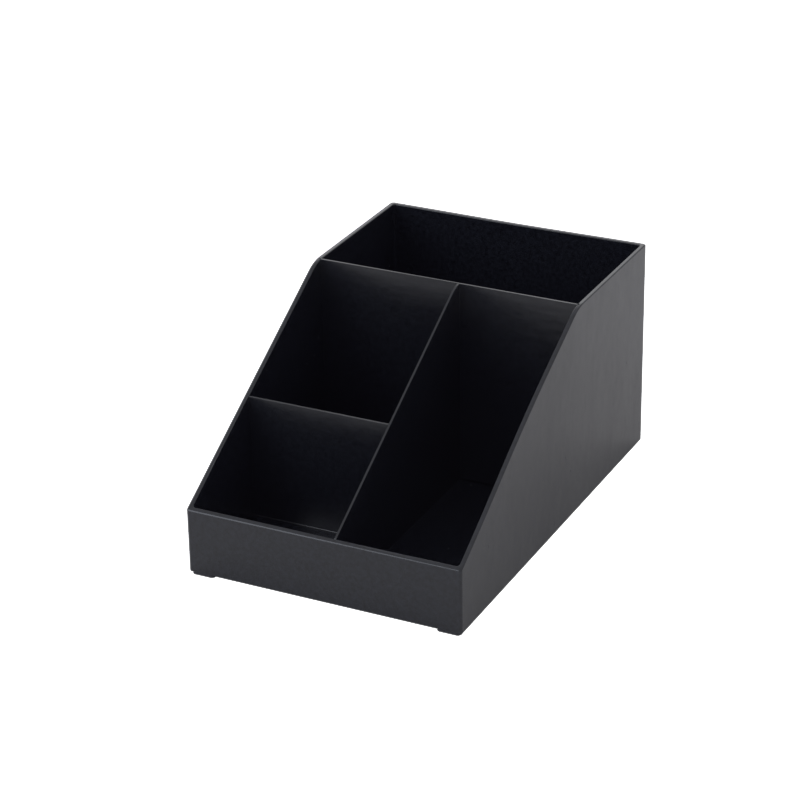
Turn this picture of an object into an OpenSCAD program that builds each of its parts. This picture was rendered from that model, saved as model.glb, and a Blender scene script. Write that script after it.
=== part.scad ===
// Desk organiser: one moulded case with a low front and sloping sides, three thin
// divider plates that stand in grooves, and four pads that it rests on.
// X runs left to right, Y front to back and Z up. The origin is on the surface that
// the pads stand on, under the middle of the case. All lengths are in millimetres.

/* [Case] */
// Width of the case, left to right
case_w = 150; // [120:1:200]
// Depth of the case, front to back
case_d = 232; // [205:1:300]
// Height of the case at the back, without the pads under it
case_h = 114.5; // [90:0.5:150]
// Height of the low front wall
front_h = 34.1; // [25:0.5:50]
// Distance from the front face to where the slope would meet the flat top
slope_run = 140; // [110:1:160]
// Radius of the bend between the slope and the flat top
bend_r = 24; // [8:1:40]
// Thickness of the four walls
wall = 2.4; // [2:0.1:3.5]
// Thickness of the floor
floor_t = 2.2; // [2:0.1:3.5]
// Radius of the upright outer corners
corner_r = 1.5; // [1:0.1:5]
// Radius of the upright inner corners, and of the cove round the floor
inner_r = 1.6; // [0.8:0.1:4]

/* [Dividers] */
// Thickness of the divider plates
plate_t = 1.2; // [1:0.1:2]
// Distance from the front face to the middle of the cross divider
cross_y = 143.8; // [120:0.1:180]
// Distance from the left face to the middle of the long divider
long_x = 81.9; // [50:0.1:100]
// Distance from the front face to the middle of the short divider
short_y = 62.9; // [40:0.1:90]
// How far the rim of the short divider lies below the slope beside it
short_drop = 0.4; // [0.2:0.1:5]

/* [Grooves] */
// Depth of the upright grooves in the case walls
wall_groove = 0.8; // [0.5:0.1:1.2]
// Depth of the grooves in the floor
floor_groove = 0.8; // [0.5:0.1:1.2]
// Depth of the groove where one divider stands against the face of another
plate_groove = 0.4; // [0.2:0.05:0.5]
// Clearance on each side of a plate, and past its ends, in a groove
groove_gap = 0.05; // [0.03:0.01:0.15]

/* [Pads] */
// Width of a pad, left to right
pad_w = 12.5; // [8:0.5:20]
// Depth of a pad, front to back
pad_d = 12.5; // [8:0.5:20]
// Height of a pad below the case
pad_h = 1.5; // [1:0.1:4]
// Corner radius of a pad
pad_r = 2; // [0.5:0.1:3.5]
// Distance from a side face of the case to a pad
pad_side_inset = 1.2; // [0.5:0.1:10]
// Distance from the front or back face of the case to a pad
pad_end_inset = 0.4; // [0.2:0.1:10]
// Diameter of the stud that holds a pad in the floor
stud_d = 5; // [3:0.5:7]
// Height of that stud above the pad
stud_h = 1.2; // [0.8:0.1:1.4]
// Clearance round the stud, and above it, in its blind hole
stud_gap = 0.1; // [0.05:0.01:0.2]

/* [Hidden] */
$fn = 64;
// How far a cutting shape runs past the face that it cuts through
past = 1;
plastic = [0.20, 0.20, 0.21];
plate_plastic = [0.23, 0.23, 0.24];
pad_rubber = [0.16, 0.16, 0.17];

// The slope rises at this angle, and the bend touches it and the flat top at these places
slope_angle = atan((case_h - front_h) / slope_run);
bend_reach = bend_r * tan(slope_angle / 2);
bend_end_y = slope_run + bend_reach;
bend_start_y = slope_run - bend_reach * cos(slope_angle);
bend_start_z = case_h - bend_reach * sin(slope_angle);

// Heights above the table of the underside, the floor and the seat of the plates
underside_z = pad_h;
floor_z = underside_z + floor_t;
plate_seat_z = floor_z - floor_groove;

// How far the plates reach into the grooves, and how wide the grooves are
wall_tongue = wall_groove - groove_gap;
plate_tongue = plate_groove - groove_gap;
groove_w = plate_t + 2 * groove_gap;

// Height of the rim above the underside of the case, at a depth y behind the front face
function rim_h(y) =
    y >= bend_end_y ? case_h :
    y > bend_start_y ? case_h - bend_r + sqrt(pow(bend_r, 2) - pow(bend_end_y - y, 2)) :
    front_h + y * tan(slope_angle);

// Moves from the middle of the table to the lower front left corner of the case
module from_corner() {
    translate([-case_w / 2, -case_d / 2, underside_z]) children();
}

// A rectangle with round corners, centred
module rounded_rectangle(w, d, r) {
    square([w - 2 * r, d], center = true);
    square([w, d - 2 * r], center = true);
    for (x = [-1, 1], y = [-1, 1])
        translate([x * (w / 2 - r), y * (d / 2 - r)]) circle(r);
}

// The side view of the case: low front, slope, round bend, flat top and upright back
module side_view() {
    polygon([
        [0, 0], [case_d, 0], [case_d, case_h], [bend_end_y, case_h],
        [bend_start_y, bend_start_z], [0, front_h]
    ]);
    intersection() {
        translate([bend_end_y, case_h - bend_r]) circle(bend_r);
        translate([bend_start_y, bend_start_z])
            square([bend_end_y - bend_start_y, case_h - bend_start_z]);
    }
}

// Everything that lies below the rim, across the whole width of the case
module below_rim() {
    from_corner() rotate([90, 0, 90]) linear_extrude(case_w) side_view();
}

// A section through a trough with round lower corners, open upwards
module trough_section(w, h, r) {
    translate([-w / 2, r]) square([w, h - r]);
    translate([-w / 2 + r, 0]) square([w - 2 * r, h]);
    for (x = [-1, 1]) translate([x * (w / 2 - r), r]) circle(r);
}

// The room inside the walls: its plan, its front section and its side section, overlapped
module inside_room() {
    w = case_w - 2 * wall;
    d = case_d - 2 * wall;
    h = case_h - floor_t + past;
    translate([0, 0, floor_z]) intersection() {
        linear_extrude(h) rounded_rectangle(w, d, inner_r);
        translate([0, d / 2, 0]) rotate([90, 0, 0])
            linear_extrude(d) trough_section(w, h, inner_r);
        translate([-w / 2, 0, 0]) rotate([90, 0, 90])
            linear_extrude(w) trough_section(d, h, inner_r);
    }
}

// A block between two corners given from the lower front left corner of the case
module block(x0, x1, y0, y1, z0, z1) {
    from_corner() translate([x0, y0, z0]) cube([x1 - x0, y1 - y0, z1 - z0]);
}

// Grooves: each is as long as the plate that it takes, plus the gap past its ends
module groove(x0, x1, y0, y1) {
    block(x0, x1, y0, y1, floor_t - floor_groove, case_h + past);
}

module cross_groove() {
    groove(
        wall - wall_groove, case_w - wall + wall_groove,
        cross_y - groove_w / 2, cross_y + groove_w / 2
    );
}

module long_groove() {
    groove(
        long_x - groove_w / 2, long_x + groove_w / 2,
        wall - wall_groove, cross_y - plate_t / 2 + plate_groove
    );
}

module short_groove() {
    groove(
        wall - wall_groove, long_x - plate_t / 2 + plate_groove,
        short_y - groove_w / 2, short_y + groove_w / 2
    );
}

// Puts its children at the middle of the pad on the side x and the end y, both -1 or 1
module at_pad(x, y) {
    translate([
        x * (case_w / 2 - pad_side_inset - pad_w / 2),
        y * (case_d / 2 - pad_end_inset - pad_d / 2),
        0
    ]) children();
}

module case() {
    color(plastic) difference() {
        intersection() {
            translate([0, 0, underside_z]) linear_extrude(case_h)
                rounded_rectangle(case_w, case_d, corner_r);
            below_rim();
        }
        inside_room();
        cross_groove();
        long_groove();
        short_groove();
        for (x = [-1, 1], y = [-1, 1])
            at_pad(x, y) translate([0, 0, underside_z - past])
                cylinder(d = stud_d + 2 * stud_gap, h = stud_h + stud_gap + past);
    }
}

// Runs from side wall to side wall, and takes the back edge of the long divider
module cross_divider() {
    color(plate_plastic) difference() {
        block(
            wall - wall_tongue, case_w - wall + wall_tongue,
            cross_y - plate_t / 2, cross_y + plate_t / 2,
            floor_t - floor_groove, rim_h(cross_y)
        );
        long_groove();
    }
}

// Runs back from the front wall, with the slope and the bend of the side walls
module long_divider() {
    color(plate_plastic) difference() {
        intersection() {
            block(
                long_x - plate_t / 2, long_x + plate_t / 2,
                wall - wall_tongue, cross_y - plate_t / 2 + plate_tongue,
                floor_t - floor_groove, case_h
            );
            below_rim();
        }
        short_groove();
    }
}

// Runs from the left wall to the long divider
module short_divider() {
    color(plate_plastic) block(
        wall - wall_tongue, long_x - plate_t / 2 + plate_tongue,
        short_y - plate_t / 2, short_y + plate_t / 2,
        floor_t - floor_groove, rim_h(short_y) - short_drop
    );
}

// A flat pad whose stud stands in the floor of the case
module pad(x, y) {
    color(pad_rubber) at_pad(x, y) {
        linear_extrude(pad_h) rounded_rectangle(pad_w, pad_d, pad_r);
        cylinder(d = stud_d, h = pad_h + stud_h);
    }
}

module front_left_pad() { pad(-1, -1); }
module front_right_pad() { pad(1, -1); }
module back_left_pad() { pad(-1, 1); }
module back_right_pad() { pad(1, 1); }

case();
cross_divider();
long_divider();
short_divider();
front_left_pad();
front_right_pad();
back_left_pad();
back_right_pad();
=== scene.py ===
# %% [markdown]
# # A desk organiser in moulded charcoal plastic
#
# This notebook dresses a small desk organiser: one moulded case with a low front and
# sloping sides, three thin divider plates, and four pads that it stands on. The packed
# model gives every size. Here each piece gets the small round edges, coves and fine grain
# that make plastic look like plastic, and then a plain studio to stand in.
#
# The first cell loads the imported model, which stays as it is. Where a piece needs a better
# surface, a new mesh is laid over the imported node, and that node is hidden.

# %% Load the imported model
import math

import bmesh
import bpy
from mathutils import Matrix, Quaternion, Vector


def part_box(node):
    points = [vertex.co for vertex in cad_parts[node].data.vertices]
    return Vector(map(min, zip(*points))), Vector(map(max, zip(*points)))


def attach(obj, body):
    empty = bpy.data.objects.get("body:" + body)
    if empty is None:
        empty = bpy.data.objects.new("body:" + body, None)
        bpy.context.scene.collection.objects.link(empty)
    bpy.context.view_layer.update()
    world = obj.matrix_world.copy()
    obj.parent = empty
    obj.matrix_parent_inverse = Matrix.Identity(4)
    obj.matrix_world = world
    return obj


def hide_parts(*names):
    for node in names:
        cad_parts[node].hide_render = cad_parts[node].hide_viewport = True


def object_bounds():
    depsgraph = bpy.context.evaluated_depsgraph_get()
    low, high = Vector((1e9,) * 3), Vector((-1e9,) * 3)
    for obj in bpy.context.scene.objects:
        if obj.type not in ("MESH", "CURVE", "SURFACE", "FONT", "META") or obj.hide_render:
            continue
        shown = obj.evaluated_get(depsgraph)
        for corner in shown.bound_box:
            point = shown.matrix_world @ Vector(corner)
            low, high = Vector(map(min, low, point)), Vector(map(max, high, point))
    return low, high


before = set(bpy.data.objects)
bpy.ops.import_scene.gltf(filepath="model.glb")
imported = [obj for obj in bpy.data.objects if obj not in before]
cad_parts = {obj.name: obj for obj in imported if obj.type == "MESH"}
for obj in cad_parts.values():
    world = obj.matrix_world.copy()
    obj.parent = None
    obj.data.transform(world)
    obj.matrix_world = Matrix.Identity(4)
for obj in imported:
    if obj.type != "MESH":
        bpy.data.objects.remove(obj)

MM = 0.001
packed_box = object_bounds()
print("nodes:", sorted(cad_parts))
print("box, mm:", [tuple(round(v / MM, 2) for v in corner) for corner in packed_box])

# %% [markdown]
# ## The sizes that the looks depend on
#
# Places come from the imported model's own boxes, so that a piece lands where the
# construction says. A box can't tell a wall's thickness or a bend's radius, so those few
# are named here, once. Lengths are in metres, and MM turns millimetres into metres.

# %% Sizes of the case and the plates
WALL = 2.4 * MM
FLOOR = 2.2 * MM
SLOPE_RUN = 140 * MM
BEND_R = 24 * MM
OUTER_CORNER_R = 1.5 * MM
INNER_CORNER_R = 1.6 * MM
WALL_GROOVE = 0.8 * MM
PLATE_GROOVE = 0.4 * MM
GROOVE_GAP = 0.05 * MM
# A point this close to a face counts as lying in it
SAME_FACE = 0.01 * MM

case_low, case_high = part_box("case")
cross_low, cross_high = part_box("cross_divider")
long_low, long_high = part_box("long_divider")
short_low, short_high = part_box("short_divider")

underside_z = case_low.z
floor_z = underside_z + FLOOR
top_z = case_high.z
front_y = case_low.y
plate_t = cross_high.y - cross_low.y
case_points = [vertex.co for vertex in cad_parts["case"].data.vertices]
front_z = max(point.z for point in case_points if point.y < front_y + SAME_FACE)
print("front wall, mm:", round((front_z - underside_z) / MM, 2))
print("plate, mm:", round(plate_t / MM, 2))

# %% [markdown]
# ## One line for the whole rim
#
# The rim rises from the low front along a straight slope, turns over a round bend and runs
# level to the back. It could be drawn as a curve object, but a function of the depth can be
# asked for its height anywhere. The walls and the long divider share this line, and writing
# it once keeps every top edge flush with its neighbour.

# %% Height of the rim
slope_angle = math.atan2(top_z - front_z, SLOPE_RUN)
bend_reach = BEND_R * math.tan(slope_angle / 2)
bend_end = front_y + SLOPE_RUN + bend_reach
bend_start = front_y + SLOPE_RUN - bend_reach * math.cos(slope_angle)


def rim_z(y):
    """Height of the rim above the table at the depth y."""
    if y >= bend_end:
        return top_z
    if y > bend_start:
        return top_z - BEND_R + math.sqrt(BEND_R**2 - (bend_end - y) ** 2)
    return front_z + (y - front_y) * math.tan(slope_angle)


def spread(start, end, steps):
    """Values from start to end, both included, evenly spaced."""
    return [start + (end - start) * k / steps for k in range(steps + 1)]


BEND_STEPS = 14
bend_stations = spread(bend_start, bend_end, BEND_STEPS)
print("slope, degrees:", round(math.degrees(slope_angle), 2))

# %% [markdown]
# ## Skins: a mesh from a row of rings
#
# A moulded wall has the same section all the way round, and a plate has the same section
# all along. Both can be made by stacking rings of points and joining each ring to the next
# with four-sided faces. That gives clean faces, with round edges exactly where they are
# wanted, which a bevel on a triangulated model can't promise.

# %% A piece from rings
def skin(name, rings):
    """A closed piece from rings of equally many points, with a flat face over each end."""
    mesh = bpy.data.meshes.new(name)
    shape = bmesh.new()
    rows = [[shape.verts.new(point) for point in ring] for ring in rings]
    for row, following in zip(rows, rows[1:]):
        for k in range(len(row)):
            n = (k + 1) % len(row)
            shape.faces.new((row[k], row[n], following[n], following[k]))
    shape.faces.new(rows[0][::-1])
    shape.faces.new(rows[-1])
    bmesh.ops.recalc_face_normals(shape, faces=shape.faces)
    shape.to_mesh(mesh)
    shape.free()
    piece = bpy.data.objects.new(name, mesh)
    bpy.context.scene.collection.objects.link(piece)
    return piece


def quarter(steps):
    """Angles of a quarter turn, from 0 to 90 degrees, in radians."""
    return spread(0, math.pi / 2, steps)


print("a quarter turn in 4 steps, degrees:", [round(math.degrees(a), 1) for a in quarter(4)])

# %% [markdown]
# ## Walls that draw in
#
# Long moulded walls never stay quite flat. As the plastic cools they draw in between the
# places that hold them, and their rims bow by a millimetre or so. The back wall has nothing
# to hold it between its corners, and the right wall has nothing between the front and the
# cross divider. The floor holds both, so the bow grows from nothing there to its most at
# the rim. Along the wall it starts and ends level, as the swell of a cosine does. A lattice
# round the finished case could bend it too, but here each point is moved as it is made.

# %% How far a wall draws in
SIDE_BOW = 1.4 * MM
BACK_BOW = 0.9 * MM
WALL_REACH = WALL + 2 * INNER_CORNER_R
cross_y = (cross_low.y + cross_high.y) / 2


def swell(share):
    """0 and level at both ends of a wall and 1 in its middle, for a share from 0 to 1."""
    return (1 - math.cos(2 * math.pi * min(max(share, 0), 1))) / 2


def drawn_in(x, y, z):
    """The place of a point of the case once the right wall and the back wall have drawn in."""
    rise = min(max((z - floor_z) / (top_z - floor_z), 0), 1)
    if x > case_high.x - WALL_REACH:
        x -= SIDE_BOW * rise * swell((y - front_y) / (cross_y - front_y))
    if y > case_high.y - WALL_REACH:
        y -= BACK_BOW * rise * swell((x - case_low.x) / (case_high.x - case_low.x))
    return (x, y, z)


print("bow of the back rim, mm:", round((case_high.y - drawn_in(0, case_high.y, top_z)[1]) / MM, 2))

# %% [markdown]
# ## The case
#
# The real case comes out of a mould in one piece. Its upright corners are round, its rim
# has a fine round on both edges, and inside a cove runs where the walls meet the floor.
# These rounds are less than a millimetre on the rim, yet they draw the thin light and
# dark lines that tell the eye how thick the wall is.
#
# A Bevel modifier could round the edges of a plain box, but here every round has its own
# radius, and the rim bends. So the section of the wall is a list of steps: how far each one
# is set in from the outer face, and how high it is. Each step becomes one ring round the
# plan of the case. Three sides of a ring get stations of their own, for the bend of the rim
# and the bow of the walls.

# %% Rounds and stations of the case
BASE_EDGE_R = 0.2 * MM
RIM_OUTER_R = 0.75 * MM
RIM_INNER_R = 0.6 * MM
COVE_R = 1.5 * MM
CORNER_STEPS = 8
EDGE_STEPS = 4
COVE_STEPS = 6
SLOPE_STATIONS = 12
BACK_STATIONS = 12
slope_stations = spread(front_y + WALL_REACH, bend_start, SLOPE_STATIONS)[:-1]
back_stations = spread(case_low.x + WALL_REACH, case_high.x - WALL_REACH, BACK_STATIONS)
print("stations on the right wall:", len(slope_stations + bend_stations))
print("stations on the back wall:", len(back_stations))


# %% One ring round the case
def plan_ring(inset):
    """Points round the case, set in from its outer faces, with round corners."""
    in_wall = min(inset / WALL, 1)
    radius = OUTER_CORNER_R + (INNER_CORNER_R - OUTER_CORNER_R) * in_wall - max(inset - WALL, 0)
    x = case_high.x - inset - radius
    y = case_high.y - inset - radius
    middle = (case_high.y + case_low.y) / 2
    ring = []
    for corner, (side, end) in enumerate([(1, 1), (-1, 1), (-1, -1), (1, -1)]):
        for angle in quarter(CORNER_STEPS):
            turn = angle + corner * math.pi / 2
            ring.append((side * x + radius * math.cos(turn), middle + end * y + radius * math.sin(turn)))
        if corner == 0:
            ring += [(station, middle + y + radius) for station in reversed(back_stations)]
        if corner == 1:
            ring += [(-x - radius, station) for station in reversed(bend_stations)]
        if corner == 3:
            ring += [(x + radius, station) for station in slope_stations + bend_stations]
    return ring


def level(inset, z):
    """A ring at one height."""
    return [drawn_in(x, y, z) for x, y in plan_ring(inset)]


def below_rim(inset, drop):
    """A ring that follows the rim, a little below it."""
    return [drawn_in(x, y, rim_z(y) - drop) for x, y in plan_ring(inset)]


print("points in a ring:", len(plan_ring(0)))

# %% The case, from its lower edge over the rim to the floor
case_rings = []
for a in quarter(EDGE_STEPS):
    inset = BASE_EDGE_R * (1 - math.sin(a))
    case_rings.append(level(inset, underside_z + BASE_EDGE_R * (1 - math.cos(a))))
for a in quarter(EDGE_STEPS):
    inset = RIM_OUTER_R * (1 - math.cos(a))
    case_rings.append(below_rim(inset, RIM_OUTER_R * (1 - math.sin(a))))
for a in quarter(EDGE_STEPS):
    inset = WALL - RIM_INNER_R * (1 - math.sin(a))
    case_rings.append(below_rim(inset, RIM_INNER_R * (1 - math.cos(a))))
for a in quarter(COVE_STEPS):
    inset = WALL + COVE_R * (1 - math.cos(a))
    case_rings.append(level(inset, floor_z + COVE_R * (1 - math.sin(a))))

case = skin("case_shell", case_rings)
print("case rings:", len(case_rings), "of", len(case_rings[0]), "points")

# %% [markdown]
# ## Grooves for the plates
#
# Each plate stands in a groove in the floor and the walls, a hair wider than the plate.
# They could be drawn into the rings, but then every ring would need their corners. A
# Boolean cut is the plain way: a box the size of the groove is taken out of the finished
# case, and the round rim on either side stays as it was. The modifier is applied at once,
# so that the case stays one plain mesh and the next step can build on it.

# %% A cut that is applied at once
def use_modifier(piece, kind, **settings):
    """Adds a modifier, applies it at once and leaves the result in the piece's mesh."""
    modifier = piece.modifiers.new(kind.title(), kind)
    for setting, value in settings.items():
        setattr(modifier, setting, value)
    bpy.context.view_layer.update()
    done = piece.evaluated_get(bpy.context.evaluated_depsgraph_get())
    mesh = bpy.data.meshes.new_from_object(done)
    piece.modifiers.remove(modifier)
    old = piece.data
    piece.data = mesh
    bpy.data.meshes.remove(old)
    mesh.name = piece.name


def cut_box(piece, low, high):
    """Cuts a box out of a piece, such as a groove."""
    corners = [(low[0], low[1]), (high[0], low[1]), (high[0], high[1]), (low[0], high[1])]
    cutter = skin("cutter", [[(x, y, z) for x, y in corners] for z in (low[2], high[2])])
    use_modifier(piece, "BOOLEAN", object=cutter, operation="DIFFERENCE", solver="EXACT")
    bpy.data.objects.remove(cutter)


print("case faces before the cuts:", len(case.data.polygons))

# %% [markdown]
# ## Three grooves
#
# The cross divider's groove runs across the whole case, and the long divider's runs back
# from the front wall to it. Both are open upwards, through the rim. The short plate ends a
# little below the slope, so its groove ends there too and leaves the rim whole.

# %% Cut the grooves
ABOVE_RIM = 1 * MM
groove_floor = cross_low.z
above = top_z + ABOVE_RIM
cross_groove = (
    (case_low.x + WALL - WALL_GROOVE, cross_low.y - GROOVE_GAP, groove_floor),
    (case_high.x - WALL + WALL_GROOVE, cross_high.y + GROOVE_GAP, above),
)
long_groove = (
    (long_low.x - GROOVE_GAP, front_y + WALL - WALL_GROOVE, groove_floor),
    (long_high.x + GROOVE_GAP, cross_low.y + PLATE_GROOVE, above),
)
short_groove = (
    (case_low.x + WALL - WALL_GROOVE, short_low.y - GROOVE_GAP, groove_floor),
    (long_low.x + PLATE_GROOVE, short_high.y + GROOVE_GAP, short_high.z),
)
for groove in (cross_groove, long_groove, short_groove):
    cut_box(case, *groove)
print("case faces after the cuts:", len(case.data.polygons))

# %% [markdown]
# ## Soft shading
#
# A mesh should look round where the plastic is round and flat where it is flat. Smooth
# shading alone makes flat faces look puffy beside their rounds, and flat shading shows
# every facet. Smooth shading with a Weighted Normal modifier gives both, because it lets
# the large faces decide which way the normals on their edges point.

# %% Shade the case
def finish_faces(piece):
    """Smooth shading that keeps flat faces flat, by weighing normals by face area."""
    for polygon in piece.data.polygons:
        polygon.use_smooth = True
    use_modifier(piece, "WEIGHTED_NORMAL", keep_sharp=False, weight=100)
    print(piece.name, "faces:", len(piece.data.polygons))


finish_faces(case)

# %% [markdown]
# ## The divider plates
#
# A plate is a thin blade with a round edge along its top. Where it meets a wall or the
# floor, a small cove runs down both sides of the joint, as moulded parts have, and inside
# the groove the blade goes on as a plain tongue.
#
# A thin box with a bevel would give the blade, but not its coves. So each plate is a row of
# sections from one end to the other. The cove is a thickness that grows towards the ends
# and towards the foot, and one formula serves both.

# %% Coves of a plate
PLATE_EDGE_R = 0.15 * MM
END_COVE_R = 0.12 * MM
FOOT_COVE_R = 0.7 * MM
# The tongue widens into the cove within this distance of the face that the plate meets
SEAT = 0.01 * MM


def cove(distance, radius):
    """How much a plate thickens on each side, at a distance from the face it stands on."""
    if distance >= radius:
        return 0
    return radius - math.sqrt(radius**2 - (radius - distance) ** 2)


def cove_stations(radius):
    """Distances from a face at which the cove gets a section, close together near the face."""
    return [radius * (1 - math.cos(a)) for a in quarter(COVE_STEPS)]


print("a plate at its foot, mm thick:", round((plate_t + 2 * cove(0, FOOT_COVE_R)) / MM, 2))


# %% A plate from its sections
def plate_section(centre, across, top, end_cove, in_groove):
    """The closed outline of a plate, seen from its end, at one place along it."""
    half = plate_t / 2
    grown = 0 if in_groove else end_cove
    side = [(half, groove_floor), (half, floor_z)]
    for h in cove_stations(FOOT_COVE_R):
        foot = 0 if in_groove else max(grown, cove(h, FOOT_COVE_R))
        side.append((half + foot, floor_z + SEAT + h))
    for a in quarter(EDGE_STEPS):
        offset = half + grown - PLATE_EDGE_R * (1 - math.cos(a))
        side.append((offset, top - PLATE_EDGE_R * (1 - math.sin(a))))
    outline = [(-offset, z) for offset, z in side] + [(offset, z) for offset, z in reversed(side)]
    return [(centre.x + across.x * offset, centre.y + across.y * offset, z) for offset, z in outline]


def plate(name, start, end, start_tongue, end_tongue, stations, top_at):
    """A plate between two faces, with a tongue past each of them.
    start and end are the middles of its ends where the faces are."""
    length = (end - start).length
    along = (end - start) / length
    across = Vector((-along.y, along.x))
    places = [(-start_tongue, 0, True), (SEAT / 2, 0, True)]
    ends = [(SEAT + s, cove(s, END_COVE_R), False) for s in cove_stations(END_COVE_R)]
    places += ends
    places += [(s, 0, False) for s in stations]
    places += [(length - s, grown, inside) for s, grown, inside in reversed(ends)]
    places += [(length - SEAT / 2, 0, True), (length + end_tongue, 0, True)]
    rings = []
    for s, end_cove, in_groove in places:
        centre = start + along * s
        rings.append(plate_section(centre, across, top_at(centre.y), end_cove, in_groove))
    return skin(name, rings)


blade = plate_section(Vector((0, 0)), Vector((0, 1)), top_z, 0, False)
print("points in a section:", len(blade))

# %% Where the plates stand
wall_tongue = WALL_GROOVE - GROOVE_GAP
plate_tongue = PLATE_GROOVE - GROOVE_GAP
left_face = case_low.x + WALL
right_face = case_high.x - WALL
front_face = front_y + WALL
long_x = (long_low.x + long_high.x) / 2
short_y = (short_low.y + short_high.y) / 2
print("long plate at x, short plate at y, mm:", round(long_x / MM, 2), round(short_y / MM, 2))

# %% The three plates
cross_plate = plate(
    "cross_divider_plate",
    Vector((left_face, cross_y)),
    Vector((right_face, cross_y)),
    wall_tongue,
    wall_tongue,
    [],
    lambda y: cross_high.z,
)
cut_box(cross_plate, *long_groove)

long_plate = plate(
    "long_divider_plate",
    Vector((long_x, front_face)),
    Vector((long_x, cross_low.y)),
    wall_tongue,
    plate_tongue,
    [y - front_face for y in bend_stations if y < cross_low.y - 2 * END_COVE_R],
    rim_z,
)
cut_box(long_plate, *short_groove)

short_plate = plate(
    "short_divider_plate",
    Vector((left_face, short_y)),
    Vector((long_low.x, short_y)),
    wall_tongue,
    plate_tongue,
    [],
    lambda y: short_high.z,
)
for piece in (cross_plate, long_plate, short_plate):
    finish_faces(piece)

# %% [markdown]
# ## Gate mark
#
# Molten plastic enters the mould of the cross divider through a gate on its rim. When the
# plate is broken off the gate, a rough scar a few millimetres long stays behind. It is only
# a tenth of a millimetre high, but it catches the light as a short bright dash. A bump in
# the plate's finish could hint at it, but a mark that stands up should be there in the mesh
# too. Here it is a long low lens, slightly sunk in the rim, whose height rises and falls.

# %% Gate mark on the rim of the cross divider
GATE_X = -3.7 * MM
GATE_HALF_LENGTH = 1.7 * MM
GATE_HALF_WIDTH = 0.45 * MM
GATE_HEIGHT = 0.11 * MM
GATE_SINK = 0.03 * MM
GATE_RINGS = 16
GATE_ARC_STEPS = 8
# The first and last rings lie at this share of the half length, where the lens is nearly shut
GATE_END = 0.97
# The height ripples up and down by this share, over this many radians in the half length
RIPPLE_DEPTH = 0.2
RIPPLE_TURN = 19
torn_rings = []
for share in spread(-GATE_END, GATE_END, GATE_RINGS):
    swelling = math.sqrt(1 - share**2)
    ripple = 1 - RIPPLE_DEPTH + RIPPLE_DEPTH * math.sin(RIPPLE_TURN * share)
    height = GATE_HEIGHT * swelling * ripple
    x = GATE_X + GATE_HALF_LENGTH * share
    ring = []
    for a in spread(0, math.pi, GATE_ARC_STEPS):
        y = cross_y + GATE_HALF_WIDTH * swelling * math.cos(a)
        z = cross_high.z - GATE_SINK + (GATE_SINK + height) * math.sin(a)
        ring.append((x, y, z))
    torn_rings.append(ring)
gate_scar = skin("cross_divider_gate_scar", torn_rings)
finish_faces(gate_scar)

# %% [markdown]
# ## Charcoal plastic
#
# Black plastic has almost no colour of its own. Nearly all that the eye sees of it is the
# room, mirrored faintly and blurred by the fine grain that the mould leaves. So the base
# colour is close to black with a little blue, and most of the work goes into the gloss.
#
# Four uneven things keep it from looking like a computer's idea of black. The tone drifts
# a little from place to place, the gloss has faint streaks where the plastic flowed, the
# faces aren't quite flat, and a very fine grain covers them. Each is a noise texture at its
# own scale, driven by the place on the object, so that neighbouring faces differ. They could
# be painted on the piece instead, but noise has no seams and never repeats. Tone and gloss
# get a short function each, waves and grain share one, and the recipe that follows puts
# them together.

# %% Tone that drifts in patches
PATCHES_PER_METRE = 450


def add(tree, kind, **inputs):
    """Adds a shader node and sets its sockets by name."""
    made = tree.nodes.new(kind)
    for socket, value in inputs.items():
        made.inputs[socket.replace("_", " ")].default_value = value
    return made


def noise(tree, place, scale, detail, roughness):
    """A noise at a scale in features per metre, read at a place."""
    texture = add(tree, "ShaderNodeTexNoise", Scale=scale, Detail=detail, Roughness=roughness)
    tree.links.new(place, texture.inputs["Vector"])
    return texture.outputs["Fac"]


def drifting_tone(tree, place, tone, drift):
    """A colour that is a share darker in some patches and lighter in others."""
    ramp = tree.nodes.new("ShaderNodeValToRGB")
    dark, light = ramp.color_ramp.elements
    dark.position = 0.3
    dark.color = (*[c * (1 - drift) for c in tone], 1)
    light.position = 0.7
    light.color = (*[c * (1 + drift) for c in tone], 1)
    patches = noise(tree, place, PATCHES_PER_METRE, detail=2, roughness=0.6)
    tree.links.new(patches, ramp.inputs["Fac"])
    return ramp.outputs["Color"]


print("patches, mm:", round(1 / PATCHES_PER_METRE / MM, 1))

# %% Gloss with streaks
STREAKS_PER_METRE = 330


def streaked_gloss(tree, place, rough, drift):
    """A roughness that runs from rough - drift to rough + drift over the middle of a noise."""
    span = add(tree, "ShaderNodeMapRange", From_Min=0.25, From_Max=0.75)
    span.inputs["To Min"].default_value = rough - drift
    span.inputs["To Max"].default_value = rough + drift
    streaks = noise(tree, place, STREAKS_PER_METRE, detail=4, roughness=0.6)
    tree.links.new(streaks, span.inputs["Value"])
    return span.outputs["Result"]


print("streaks, mm:", round(1 / STREAKS_PER_METRE / MM, 1))

# %% Waves and grain
WAVES_PER_METRE = 42
PORES_PER_METRE = 4500


def bump(tree, relief, height):
    """A bump node that makes a face look raised by a noise, up to a height."""
    raised = add(tree, "ShaderNodeBump", Strength=1, Distance=height)
    tree.links.new(relief, raised.inputs["Height"])
    return raised


print("waves, mm:", round(1 / WAVES_PER_METRE / MM, 1))
print("pores of the grain, mm:", round(1 / PORES_PER_METRE / MM, 1))

# %% [markdown]
# ## One recipe for every finish
#
# Case, plates, pads and the torn gate mark could each have a material built by hand, but
# they differ only in numbers. So one recipe serves them all: a tone and how much it drifts,
# a roughness and how much it drifts, which way the plastic flowed, how high the waves are
# and how deep the grain is.
#
# In the case the plastic flowed upwards, so its streaks and waves are drawn out in height.
# In the plates it spread sideways from the gate, so theirs lie level. A flow is given as
# the scale of the noise along X, Y and Z, and below 1 draws its features out. Torn plastic
# is lighter and rougher than moulded plastic, and the pads' rubber is dull.

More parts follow.
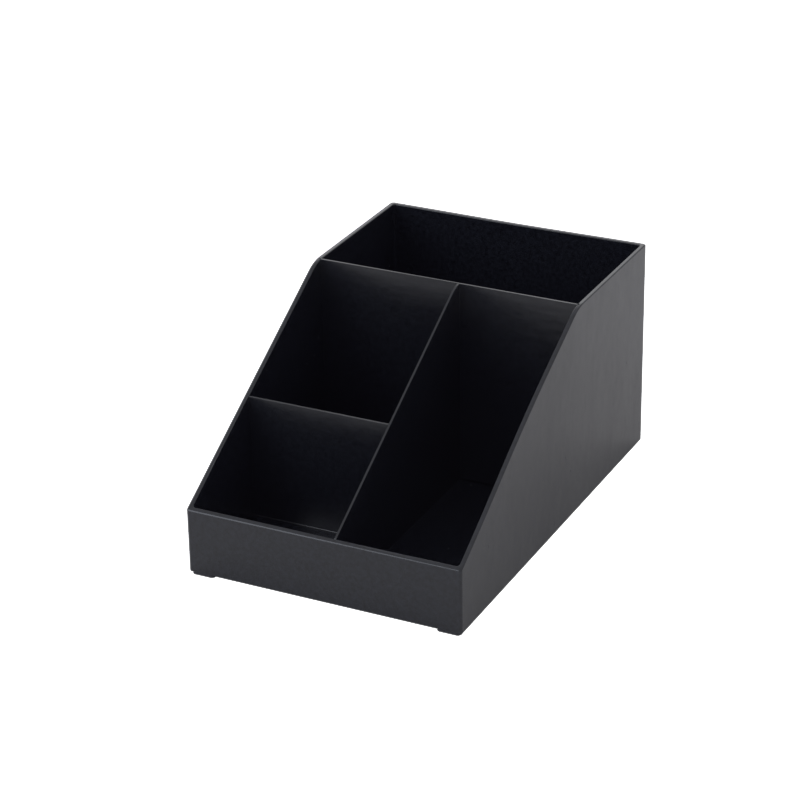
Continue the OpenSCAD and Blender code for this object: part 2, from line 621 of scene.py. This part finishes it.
# %% Recipe for moulded plastic and rubber
UPRIGHT = (1, 1, 0.6)
LEVEL = (0.6, 0.6, 2.2)


def moulded(name, tone, tone_drift, rough, rough_drift, flow, wave_height, grain):
    """A material with drifting tone, streaked gloss, wavy faces and a fine grain."""
    material = bpy.data.materials.new(name)
    material.use_nodes = True
    tree = material.node_tree
    shader = tree.nodes["Principled BSDF"]
    place = tree.nodes.new("ShaderNodeTexCoord").outputs["Object"]
    mapping = add(tree, "ShaderNodeMapping", Scale=flow)
    tree.links.new(place, mapping.inputs["Vector"])
    along_flow = mapping.outputs["Vector"]

    tree.links.new(drifting_tone(tree, place, tone, tone_drift), shader.inputs["Base Color"])
    tree.links.new(streaked_gloss(tree, along_flow, rough, rough_drift), shader.inputs["Roughness"])
    waves = bump(tree, noise(tree, along_flow, WAVES_PER_METRE, detail=2, roughness=0.5), wave_height)
    pores = bump(tree, noise(tree, place, PORES_PER_METRE, detail=2, roughness=0.6), grain)
    tree.links.new(waves.outputs["Normal"], pores.inputs["Normal"])
    tree.links.new(pores.outputs["Normal"], shader.inputs["Normal"])
    return material


print("features drawn out upright:", round(1 / UPRIGHT[2], 2), "level:", round(1 / LEVEL[0], 2))

# %% The four finishes
case_plastic = moulded(
    "case_plastic",
    tone=(0.0067, 0.0076, 0.0108),
    tone_drift=0.50,
    rough=0.22,
    rough_drift=0.06,
    flow=UPRIGHT,
    wave_height=0.32 * MM,
    grain=0.003 * MM,
)
plate_plastic = moulded(
    "plate_plastic",
    tone=(0.0062, 0.0070, 0.0096),
    tone_drift=0.34,
    rough=0.20,
    rough_drift=0.035,
    flow=LEVEL,
    wave_height=0.12 * MM,
    grain=0.003 * MM,
)
torn_plastic = moulded(
    "torn_plastic",
    tone=(0.030, 0.032, 0.036),
    tone_drift=0.30,
    rough=0.40,
    rough_drift=0.10,
    flow=UPRIGHT,
    wave_height=0.05 * MM,
    grain=0.010 * MM,
)
pad_rubber = moulded(
    "pad_rubber",
    tone=(0.0095, 0.0100, 0.0150),
    tone_drift=0.20,
    rough=0.45,
    rough_drift=0.05,
    flow=UPRIGHT,
    wave_height=0.05 * MM,
    grain=0.006 * MM,
)
print("finishes:", [m.name for m in (case_plastic, plate_plastic, torn_plastic, pad_rubber)])

# %% [markdown]
# ## Dress the pieces
#
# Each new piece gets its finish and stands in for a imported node, which is then hidden. The
# object is one rigid body, so every piece rides on that. The gate mark replaces nothing: it
# is laid on the rim of the cross divider.

# %% Finish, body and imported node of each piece
def dress(piece, material, *stands_for, slot):
    """Gives a piece its material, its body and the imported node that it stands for."""
    piece.data.materials.clear()
    piece.data.materials.append(material)
    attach(piece, "root")
    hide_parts(*stands_for)
    print(piece.name, "stands for", ", ".join(stands_for) or "no packed node")


dress(case, case_plastic, "case", slot="case")
dress(cross_plate, plate_plastic, "cross_divider", slot="dividers")
dress(long_plate, plate_plastic, "long_divider", slot="dividers")
dress(short_plate, plate_plastic, "short_divider", slot="dividers")
dress(gate_scar, torn_plastic, slot="dividers")

# %% [markdown]
# ## The pads
#
# Four small rubber pads lift the case off the desk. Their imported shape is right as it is, so
# the nodes stay. They only need their finish, and a bevel, because no moulded rubber has a
# knife edge. The bevel takes sharp edges alone and leaves the round corners smooth.

# %% Finish and bevel of the pads
PAD_EDGE_R = 0.25 * MM
PAD_EDGE_STEPS = 3
SHARP_ANGLE = math.radians(50)
pads = [node for name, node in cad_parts.items() if name.endswith("_pad")]
for pad in pads:
    pad.data.materials.clear()
    pad.data.materials.append(pad_rubber)
    rounding = pad.modifiers.new("Round edges", "BEVEL")
    rounding.width = PAD_EDGE_R
    rounding.segments = PAD_EDGE_STEPS
    rounding.limit_method = "ANGLE"
    rounding.angle_limit = SHARP_ANGLE
print("pads:", sorted(pad.name for pad in pads))

# %% [markdown]
# ## Table and paper
#
# Dark satin plastic shows its shape by what it mirrors, so the studio matters as much as
# the material. The table is a wide pale disc, which upright faces mirror when they are
# seen from above.
#
# The narrow gap under the object shades the table there, and would put a grey line round
# the object's foot. It could be cut away by a mask afterwards. Here the table lights the
# object and is mirrored in it, while the camera sees a sheet of even white paper in its
# place.

# %% Table and paper
GROUND_REACH = 6.0
GROUND_SIDES = 96
TABLE_PAINT = (0.875, 0.86, 0.845, 1)
TABLE_ROUGHNESS = 0.9
PAPER_BRIGHTNESS = 0.5
scene = bpy.context.scene


def ground(name, base_colour):
    """A wide round sheet under the object, and the shader of its own new material."""
    mesh = bpy.data.meshes.new(name)
    shape = bmesh.new()
    bmesh.ops.create_circle(shape, cap_ends=True, segments=GROUND_SIDES, radius=GROUND_REACH)
    shape.to_mesh(mesh)
    shape.free()
    sheet = bpy.data.objects.new(name, mesh)
    scene.collection.objects.link(sheet)
    material = bpy.data.materials.new(name + "_paint")
    material.use_nodes = True
    mesh.materials.append(material)
    shader = material.node_tree.nodes["Principled BSDF"]
    shader.inputs["Base Color"].default_value = base_colour
    shader.inputs["Specular IOR Level"].default_value = 0.0
    return sheet, shader


table, table_shader = ground("table", TABLE_PAINT)
table_shader.inputs["Roughness"].default_value = TABLE_ROUGHNESS
table.visible_camera = False

paper, paper_shader = ground("paper", (0, 0, 0, 1))
paper_shader.inputs["Emission Color"].default_value = (1, 1, 1, 1)
paper_shader.inputs["Emission Strength"].default_value = PAPER_BRIGHTNESS
paper.visible_diffuse = False
paper.visible_glossy = False
paper.visible_transmission = False
paper.visible_shadow = False
print("ground:", [o.name for o in (table, paper)], "metres across:", 2 * GROUND_REACH)

# %% [markdown]
# ## Sky and softboxes
#
# An even, pale sky fills whatever the table doesn't. One large softbox in front on the
# left draws a bright line along the front rim and a soft glow on the inner faces that look
# towards it. A wide, weak one behind the object lifts the level rims, which mirror what
# lies behind them. Small lamps could give as much light, but in dark glossy plastic they
# would show as hard white spots, and large ones fade softly.

# %% Sky
SKY_COLOUR = (0.99, 1.0, 1.05, 1)
SKY_STRENGTH = 0.73
scene.world = bpy.data.worlds.new("pale_sky")
scene.world.use_nodes = True
sky = scene.world.node_tree.nodes["Background"]
sky.inputs["Color"].default_value = SKY_COLOUR
sky.inputs["Strength"].default_value = SKY_STRENGTH
print("sky:", scene.world.name, "strength:", SKY_STRENGTH)

# %% Softboxes
DAYLIGHT = (0.95, 1.01, 1.13)
WARM_WHITE = (1.0, 0.99, 0.97)


def softbox(name, azimuth, elevation, distance, width, height, radiance, colour):
    """An area light that faces the object. Azimuth 0 is in front, 90 is on the right."""
    a, e = math.radians(azimuth), math.radians(elevation)
    away = Vector((math.sin(a) * math.cos(e), -math.cos(a) * math.cos(e), math.sin(e)))
    data = bpy.data.lights.new(name, "AREA")
    data.shape = "RECTANGLE"
    data.size = width
    data.size_y = height
    # An even lamp gives pi times its radiance in watts for each square metre
    data.energy = radiance * math.pi * width * height
    data.color = colour
    lamp = bpy.data.objects.new(name, data)
    lamp.location = away * distance
    lamp.rotation_mode = "QUATERNION"
    lamp.rotation_quaternion = away.to_track_quat("Z", "Y")
    scene.collection.objects.link(lamp)
    print(name, "watts:", round(data.energy, 2))


softbox(
    "softbox_left",
    azimuth=-45,
    elevation=32,
    distance=2.0,
    width=1.4,
    height=1.2,
    radiance=2.45,
    colour=DAYLIGHT,
)
softbox(
    "softbox_back",
    azimuth=-155,
    elevation=30,
    distance=2.0,
    width=2.0,
    height=1.0,
    radiance=0.72,
    colour=WARM_WHITE,
)

# %% [markdown]
# ## Paper white
#
# Studio paper comes out a light grey, and goods are shown on pure white. Stronger light
# could lift it, but would brighten the object too. One tone curve does it here instead. It
# leaves the shades alone, up to SHADE_TOP, and climbs from there, so that paper and sky come
# out white and the object keeps its tones. A very small lift of the deepest shade, a little
# more of it in blue, stands for the faint haze that a lens adds to black.

# %% Tone curve
BLACK_LIFTS = (0.0011, 0.0009, 0.0015)
SHADE_TOP = 0.30
PAPER_WHITE = 0.46
look = scene.view_settings
look.view_transform = "Standard"
look.use_curve_mapping = True
tone_curve = look.curve_mapping.curves[3]
tone_curve.points[1].location = (PAPER_WHITE, 1)
tone_curve.points.new(SHADE_TOP, SHADE_TOP)
for channel, lift in zip(look.curve_mapping.curves, BLACK_LIFTS):
    channel.points[0].location = (0, lift)
    for point in channel.points:
        point.handle_type = "VECTOR"
for point in tone_curve.points:
    point.handle_type = "VECTOR"
look.curve_mapping.update()
print("tone curve:", [tuple(round(v, 2) for v in point.location) for point in tone_curve.points])

# %% [markdown]
# ## Camera
#
# A short lens from close by would make the upright edges lean. A long one from about 1.4
# metres away keeps them nearly upright. The camera stands to the right of the front and
# looks down at about 25 degrees, which shows into all four compartments. It aims close to
# the middle of the object.

# %% Camera
CAMERA_AZIMUTH = math.radians(26.574)
CAMERA_ELEVATION = math.radians(25.482)
CAMERA_ROLL = math.radians(-0.933)
CAMERA_DISTANCE = 1.3932
AIM_RIGHT = -12.41 * MM
AIM_UP = 2.25 * MM
FOCAL_LENGTH = 121.98
SENSOR_WIDTH = 36

low, high = packed_box
middle = (low + high) / 2
back = Vector((
    math.sin(CAMERA_AZIMUTH) * math.cos(CAMERA_ELEVATION),
    -math.cos(CAMERA_AZIMUTH) * math.cos(CAMERA_ELEVATION),
    math.sin(CAMERA_ELEVATION),
))
turn = (-back).to_track_quat("-Z", "Y")
aim = middle + turn @ Vector((AIM_RIGHT, AIM_UP, 0))
camera_data = bpy.data.cameras.new("camera")
camera_data.sensor_width = SENSOR_WIDTH
camera_data.lens = FOCAL_LENGTH
camera = bpy.data.objects.new("camera", camera_data)
camera.location = aim + back * CAMERA_DISTANCE
camera.rotation_mode = "QUATERNION"
camera.rotation_quaternion = turn @ Quaternion((0, 0, 1), CAMERA_ROLL)
scene.collection.objects.link(camera)
scene.camera = camera
print("camera:", [round(v, 4) for v in camera.location])
